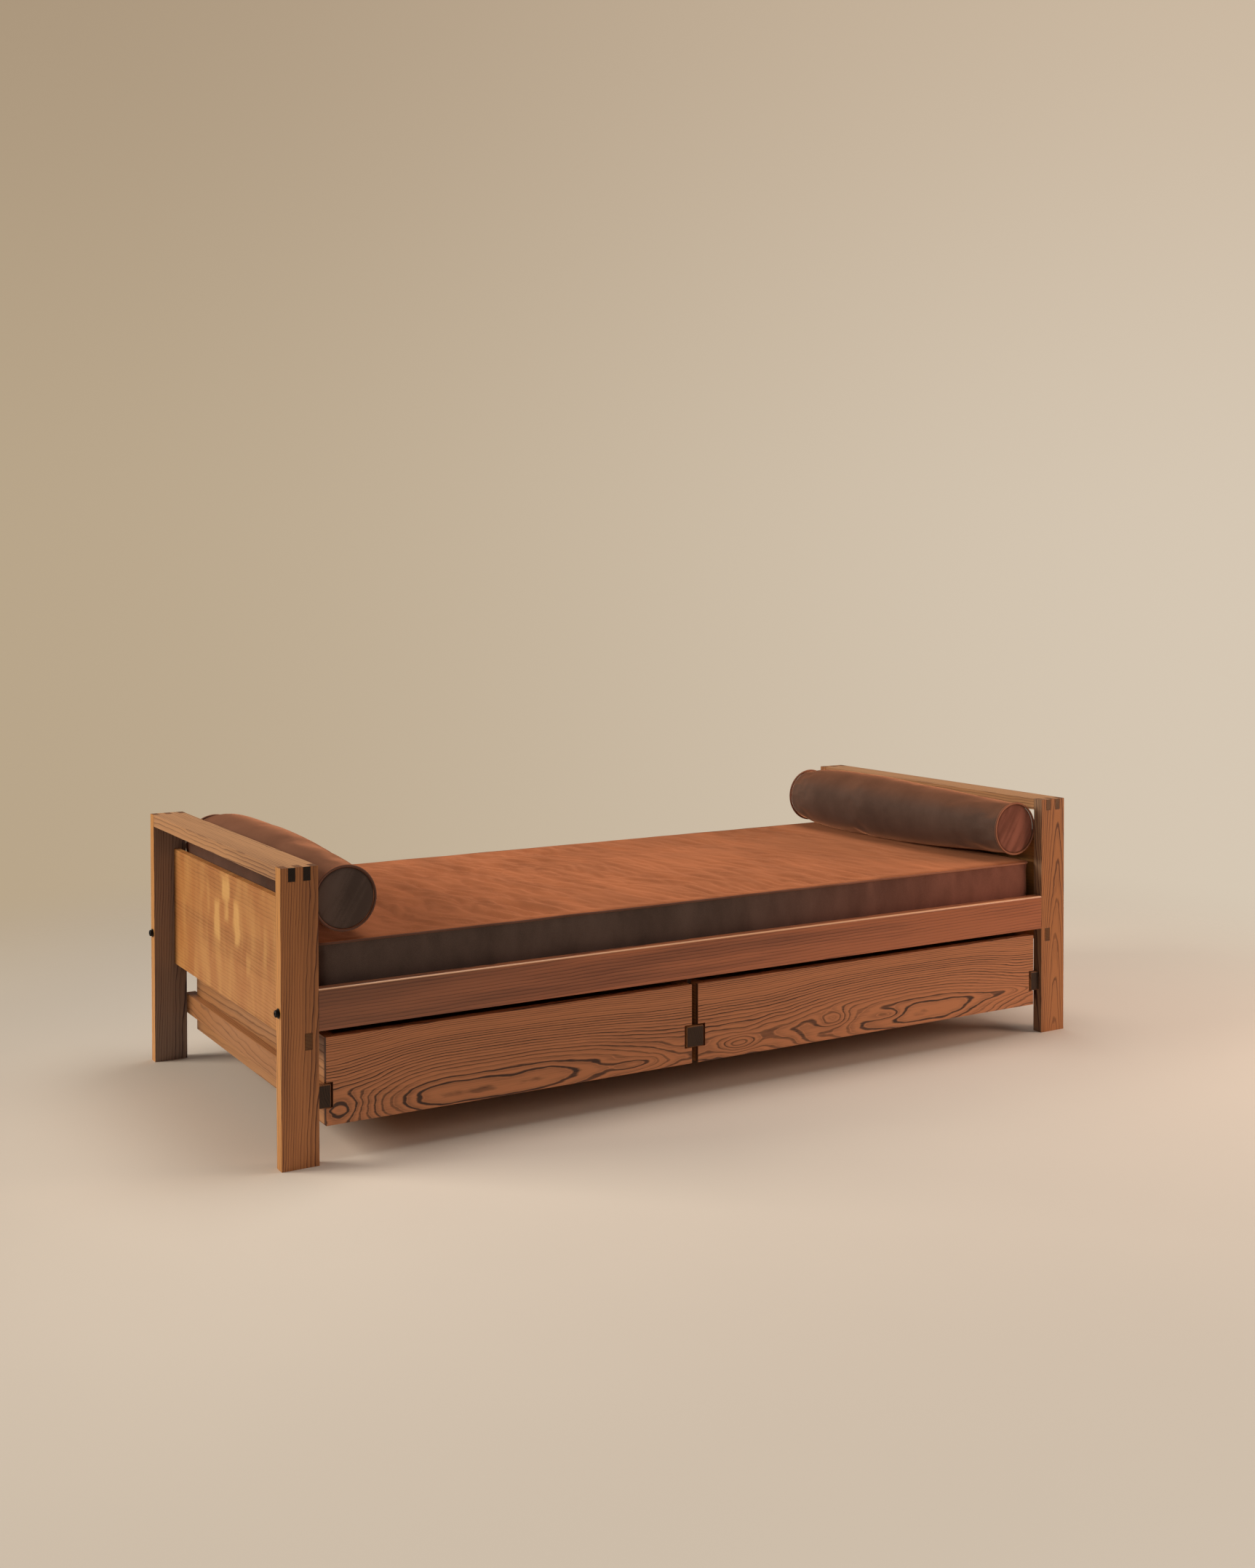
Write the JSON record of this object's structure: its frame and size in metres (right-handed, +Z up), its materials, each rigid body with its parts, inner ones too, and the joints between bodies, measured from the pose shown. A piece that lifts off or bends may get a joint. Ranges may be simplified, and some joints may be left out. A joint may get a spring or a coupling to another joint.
{
  "type": "daybed",
  "caption": "Low wooden daybed: finger-jointed end frames, bolted side rails, drawers hung on wooden runners below, a thin velvet mattress and loose bolster cushions.",
  "frame": {"origin": "on the floor under the middle of the bed", "axes": "+X along the bed to the right end, +Y across it to the rear, with the drawers opening towards -Y, +Z up"},
  "size_m": [2.1164, 0.93, 0.6083],
  "materials": {
    "frame_wood": "satin",
    "drawer_wood": "satin",
    "runner_wood": "satin",
    "inner_wood": "matte",
    "black_steel": "satin",
    "mattress_velvet": "matte",
    "bolster_velvet": "matte"
  },
  "bodies": {
    "frame": {"front_left_post": "frame_wood", "front_right_post": "frame_wood", "rear_left_post": "frame_wood", "rear_right_post": "frame_wood", "left_top_rail": "frame_wood", "right_top_rail": "frame_wood", "left_end_panel": "frame_wood", "right_end_panel": "frame_wood", "front_side_rail": "frame_wood", "rear_side_rail": "frame_wood", "front_left_bolt": "black_steel", "front_left_washer": "black_steel", "front_left_barrel_nut": "black_steel", "front_right_bolt": "black_steel", "front_right_washer": "black_steel", "front_right_barrel_nut": "black_steel", "rear_left_bolt": "black_steel", "rear_left_washer": "black_steel", "rear_left_barrel_nut": "black_steel", "rear_right_bolt": "black_steel", "rear_right_washer": "black_steel", "rear_right_barrel_nut": "black_steel", "front_slat_ledge": "inner_wood", "rear_slat_ledge": "inner_wood", "slat_1": "inner_wood", "slat_2": "inner_wood", "slat_3": "inner_wood", "slat_4": "inner_wood", "slat_5": "inner_wood", "slat_6": "inner_wood", "slat_7": "inner_wood", "slat_8": "inner_wood", "slat_9": "inner_wood", "slat_10": "inner_wood", "slat_11": "inner_wood", "slat_12": "inner_wood", "middle_cross_rail": "inner_wood", "middle_hanger": "runner_wood", "left_runner": "runner_wood", "middle_runner": "runner_wood", "right_runner": "runner_wood", "mattress": "mattress_velvet"},
    "left_drawer": {"left_drawer_front": "drawer_wood", "left_drawer_left_side": "inner_wood", "left_drawer_right_side": "inner_wood", "left_drawer_back": "inner_wood", "left_drawer_floor": "inner_wood"},
    "right_drawer": {"right_drawer_front": "drawer_wood", "right_drawer_left_side": "inner_wood", "right_drawer_right_side": "inner_wood", "right_drawer_back": "inner_wood", "right_drawer_floor": "inner_wood"},
    "left_bolster": {"left_bolster": "bolster_velvet"},
    "right_bolster": {"right_bolster": "bolster_velvet"}
  },
  "joints": [
    {"name": "left_drawer_slide", "type": "slide", "parent": "frame", "child": "left_drawer", "axis": [0, -1, 0], "range_m": [0, 0.6]},
    {"name": "right_drawer_slide", "type": "slide", "parent": "frame", "child": "right_drawer", "axis": [0, -1, 0], "range_m": [0, 0.6]},
    {"name": "left_bolster_lift", "type": "slide", "parent": "frame", "child": "left_bolster", "axis": [0.8, 0, 0.6], "range_m": [0, 0.3]},
    {"name": "right_bolster_lift", "type": "slide", "parent": "frame", "child": "right_bolster", "axis": [-0.8, 0, 0.6], "range_m": [0, 0.3]}
  ]
}
